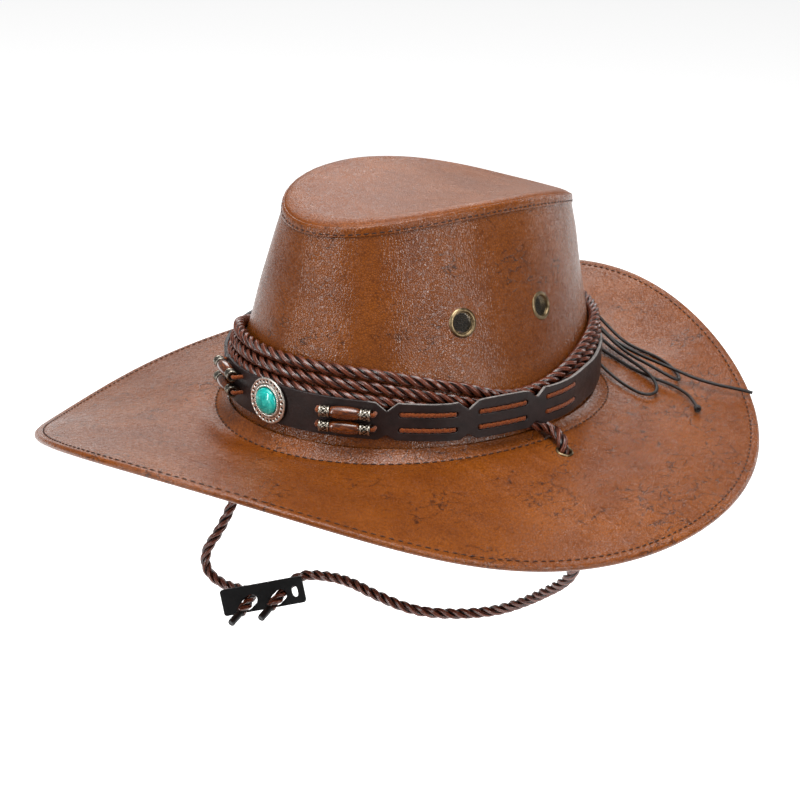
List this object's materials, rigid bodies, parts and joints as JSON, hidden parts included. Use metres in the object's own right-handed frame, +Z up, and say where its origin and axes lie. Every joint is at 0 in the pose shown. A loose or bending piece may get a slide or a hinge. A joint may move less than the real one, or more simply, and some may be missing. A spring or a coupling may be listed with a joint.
{
  "type": "cowboy hat",
  "caption": "Wide-brimmed western hat with a tapered crown, shaped brim, slotted band with beads and a concho, rope wraps, and a chin cord with a slider.",
  "frame": {"origin": "centre of the head opening, level with the lower edge of the sweatband", "axes": "+Z up the crown, front of the hat at -Y, wearer's left at +X"},
  "size_m": [0.3643, 0.3896, 0.2594],
  "materials": {
    "tan_leather": "semi-gloss, fine pebble grain",
    "lining_cloth": "woven",
    "sweatband_cloth": "woven",
    "stiffener": "felted",
    "steel_wire": "drawn",
    "antique_brass": "aged",
    "dark_mesh": "woven wire",
    "black_leather": "satin with raw cut edge",
    "brown_suede": "suede",
    "dark_wood": "lacquered",
    "antique_silver": "aged",
    "turquoise": "polished, marbled",
    "dark_rope": "twisted, glossy",
    "black_sleeve": "shrink sleeve",
    "waxed_cord": "waxed"
  },
  "bodies": {
    "hat": {"crown_side": "tan_leather", "crown_tip": "tan_leather", "tip_welt": "tan_leather", "crown_side_lining": "lining_cloth", "crown_tip_lining": "lining_cloth", "sweatband": "sweatband_cloth", "brim_upper": "tan_leather", "brim_stiffener": "stiffener", "brim_lower": "tan_leather", "brim_edge_wire": "steel_wire", "vent_eyelets": "antique_brass", "vent_washers": "antique_brass", "vent_screens": "dark_mesh", "chin_eyelets": "antique_brass", "chin_eyelet_washers": "antique_brass", "hat_band": "black_leather", "upper_lace": "brown_suede", "lower_lace": "brown_suede", "bead_laces": "brown_suede", "concho_plate": "antique_silver", "concho_stone": "turquoise", "concho_screw": "antique_silver", "rope_wraps": "dark_rope", "tie_knot": "waxed_cord", "tie_lacing": "waxed_cord", "tie_cord_long": "waxed_cord", "tie_cord_short": "waxed_cord", "tie_loop_inner": "waxed_cord", "tie_loop_outer": "waxed_cord", "tie_end_knot": "waxed_cord"},
    "chin_cord": {"chin_cord_left": "dark_rope", "chin_cord_right": "dark_rope", "cord_tip_left": "black_sleeve", "cord_tip_right": "black_sleeve"},
    "chin_slider": {"chin_toggle": "black_leather"},
    "beads_left_front_upper": {"bead_left_front_upper": "dark_wood", "spacers_left_front_upper": "antique_silver"},
    "beads_left_front_lower": {"bead_left_front_lower": "dark_wood", "spacers_left_front_lower": "antique_silver"},
    "beads_right_front_upper": {"bead_right_front_upper": "dark_wood", "spacers_right_front_upper": "antique_silver"},
    "beads_right_front_lower": {"bead_right_front_lower": "dark_wood", "spacers_right_front_lower": "antique_silver"}
  },
  "joints": [
    {"name": "chin_cord_swing", "type": "hinge", "parent": "hat", "child": "chin_cord", "pos_m": [0, -0.00535, -0.0125], "axis": [1, 0, 0], "range_deg": [-60, 60]},
    {"name": "slider_slide", "type": "slide", "parent": "chin_cord", "child": "chin_slider", "axis": [0.2001, -0.9243, -0.3251], "range_m": [0, 0.008]},
    {"name": "beads_left_front_upper_spin", "type": "hinge", "parent": "hat", "child": "beads_left_front_upper", "pos_m": [0.04423, -0.097, 0.022], "axis": [0.8435, 0.5372, 0], "continuous": true},
    {"name": "beads_left_front_lower_spin", "type": "hinge", "parent": "hat", "child": "beads_left_front_lower", "pos_m": [0.04423, -0.097, 0.0146], "axis": [0.8435, 0.5372, 0], "continuous": true},
    {"name": "beads_right_front_upper_spin", "type": "hinge", "parent": "hat", "child": "beads_right_front_upper", "pos_m": [-0.0361, -0.10159, 0.0246], "axis": [0.8958, -0.4444, 0], "continuous": true},
    {"name": "beads_right_front_lower_spin", "type": "hinge", "parent": "hat", "child": "beads_right_front_lower", "pos_m": [-0.0361, -0.10159, 0.0164], "axis": [0.8958, -0.4444, 0], "continuous": true}
  ]
}
